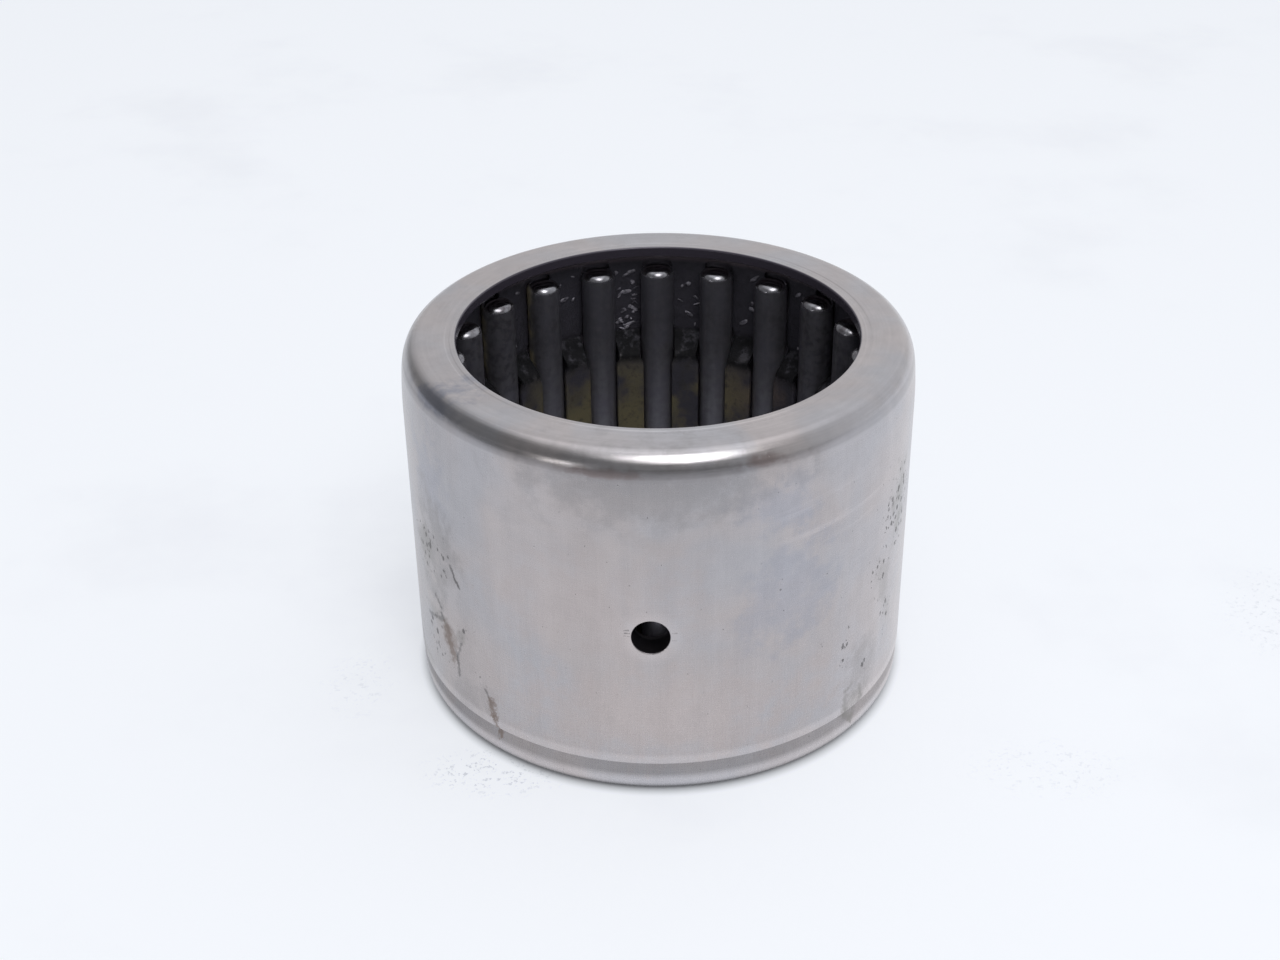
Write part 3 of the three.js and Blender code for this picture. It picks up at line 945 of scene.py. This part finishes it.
def floor_paper():
    """Pale paper with a painted glow, painted shadow close round the bearing and painted shade far in front
    of it, with faint specks of dirt.
    """
    s = Surface("floor_paper", Roughness=0.9)
    smudge = s.noise(s.place, 0.03, 5, 0.6)
    # The paper's glow is painted light, a little uneven in smudges; the dirt specks are mixed into it.
    painted_glow_with_dirt = s.mix(s.spread(smudge, 0.5, 0.72), (0.93, 0.955, 1.0), (0.86, 0.88, 0.93))
    specks = s.spread(s.noise(s.place, 3.0, 3, 0.7), 0.56, 0.64)
    for x, y, width, depth, weight in FLOOR_DIRT:
        offset = s.vector("SUBTRACT", s.place, (x, y, 0))
        near = s.spread(s.length(s.vector("MULTIPLY", offset, (1 / width, 1 / depth, 0))), 1.0, 0.3)
        dirty = s.math("MULTIPLY", s.math("MULTIPLY", near, specks), weight)
        painted_glow_with_dirt = s.mix(dirty, painted_glow_with_dirt, (0.22, 0.25, 0.32))
    # Painted contact shadow: the glow fades out under and close round the bearing's foot.
    clear = s.spread(s.radius, CONTACT_SHADE[0], CONTACT_SHADE[1], 0.06, 0.58)
    # Painted shade: the glow dims far in front of the bearing, which the cup's corner reflects as a dark
    # band.
    ahead = s.spread(s.math("MULTIPLY", s.y, -1.0), FRONT_SHADE[0], FRONT_SHADE[1], 1.0, 0.35, smooth=False)
    s.set(s.shader, {"Base Color": rgba((0.4, 0.41, 0.43)), "Emission Color": painted_glow_with_dirt})
    s.set(s.shader, {"Emission Strength": s.math("MULTIPLY", clear, ahead)})
    return s.material


# ---------------------------------------------------------------- the bearing

steel, sheet, polished = cup_steel(), cage_steel(), roller_steel()
cup = make_cup(steel)

spins = [joint for joint in frame["joints"] if joint["parent"] == "cage"]
turns = [math.atan2(joint["pos_m"][1], joint["pos_m"][0]) for joint in spins]
cage = make_cage(sheet, turns)
grease = make_grease(old_grease(), turns)

for joint in spins:
    number = joint["child"].split("_")[1]
    roller = make_roller(
        f"needle_{number}", f"needle_roller_{number}", joint["child"], Vector(joint["pos_m"]), polished
    )

# ---------------------------------------------------------------- floor, light and camera


def make_floor():
    """A flat sheet under the bearing, far wider than the view."""
    mesh = bpy.data.meshes.new("floor")
    corners = [(x, y, -HALF_WIDTH * MM) for x, y in ((-2, -2), (2, -2), (2, 2), (-2, 2))]
    mesh.from_pydata(corners, [], [(0, 1, 2, 3)])
    mesh.materials.append(floor_paper())
    floor = bpy.data.objects.new("floor", mesh)
    bpy.context.scene.collection.objects.link(floor)


def direction(azimuth, elevation):
    """A unit vector. Azimuth is in degrees from the front (-Y) towards +X."""
    a, e = math.radians(azimuth), math.radians(elevation)
    return Vector((math.sin(a) * math.cos(e), -math.cos(a) * math.cos(e), math.sin(e)))


def make_softbox(name, azimuth, elevation, distance, width, height, power):
    """An oval area lamp that faces the bearing and isn't seen itself."""
    light = bpy.data.lights.new(name, "AREA")
    light.shape = "ELLIPSE"
    light.size, light.size_y = width, height
    light.energy = power
    lamp = bpy.data.objects.new(name, light)
    away = direction(azimuth, elevation)
    lamp.location = away * distance
    lamp.rotation_mode = "QUATERNION"
    lamp.rotation_quaternion = away.to_track_quat("Z", "Y")
    lamp.visible_camera = False
    bpy.context.scene.collection.objects.link(lamp)


def make_world():
    """A studio that is brighter overhead and to the right and back, and dim to the left."""
    world = bpy.data.worlds.new("studio")
    world.use_nodes = True
    nodes, links = world.node_tree.nodes, world.node_tree.links

    def add(kind, values, **properties):
        node = nodes.new(kind)
        for key, value in properties.items():
            setattr(node, key, value)
        for key, value in values.items():
            if isinstance(value, bpy.types.NodeSocket):
                links.new(value, node.inputs[key])
            else:
                node.inputs[key].default_value = value
        return node

    def spread(value, low, high, bottom, top):
        values = {0: value, 1: low, 2: high, 3: bottom, 4: top}
        return add("ShaderNodeMapRange", values, interpolation_type="SMOOTHSTEP").outputs[0]

    where = nodes.new("ShaderNodeTexCoord").outputs["Generated"]
    bright_side = tuple(direction(135, 0))
    across = add("ShaderNodeVectorMath", {0: where, 1: bright_side}, operation="DOT_PRODUCT").outputs["Value"]
    height = add("ShaderNodeSeparateXYZ", {0: where}).outputs[2]
    side = spread(across, -0.7, 0.9, 0.28, 0.76)
    overhead = spread(height, 0.7, 0.98, 0.0, 1.0)
    level = add("ShaderNodeMix", {0: overhead, 2: side, 3: 1.0}, data_type="FLOAT").outputs[0]
    background = nodes["Background"]
    background.inputs["Color"].default_value = (0.95, 0.97, 1.0, 1.0)
    links.new(level, background.inputs["Strength"])
    bpy.context.scene.world = world


def turned(vector, axis, degrees):
    """The vector, turned round an axis."""
    return Matrix.Rotation(math.radians(degrees), 3, axis) @ vector


def make_camera():
    """Stands at the fitted place, then pans, tilts and rolls a little off the bearing's middle."""
    away = direction(CAMERA_AZIMUTH, CAMERA_ELEVATION)
    ahead = -away
    right = ahead.cross(Vector((0, 0, 1))).normalized()
    up = right.cross(ahead)
    ahead, right = turned(ahead, up, CAMERA_PAN), turned(right, up, CAMERA_PAN)
    ahead, up = turned(ahead, right, CAMERA_TILT), turned(up, right, CAMERA_TILT)
    right, up = turned(right, ahead, CAMERA_ROLL), turned(up, ahead, CAMERA_ROLL)
    data = bpy.data.cameras.new("camera")
    data.lens = CAMERA_LENS
    data.sensor_width = 36.0
    data.clip_start, data.clip_end = 0.005, 10.0
    camera = bpy.data.objects.new("camera", data)
    camera.matrix_world = Matrix.Translation(away * CAMERA_DISTANCE * MM) @ (
        Matrix((right, up, -ahead)).transposed().to_4x4()
    )
    bpy.context.scene.collection.objects.link(camera)
    bpy.context.scene.camera = camera


make_floor()
for lamp in LAMPS:
    make_softbox(*lamp)
make_world()
make_camera()
bpy.context.scene.view_settings.view_transform = "Standard"
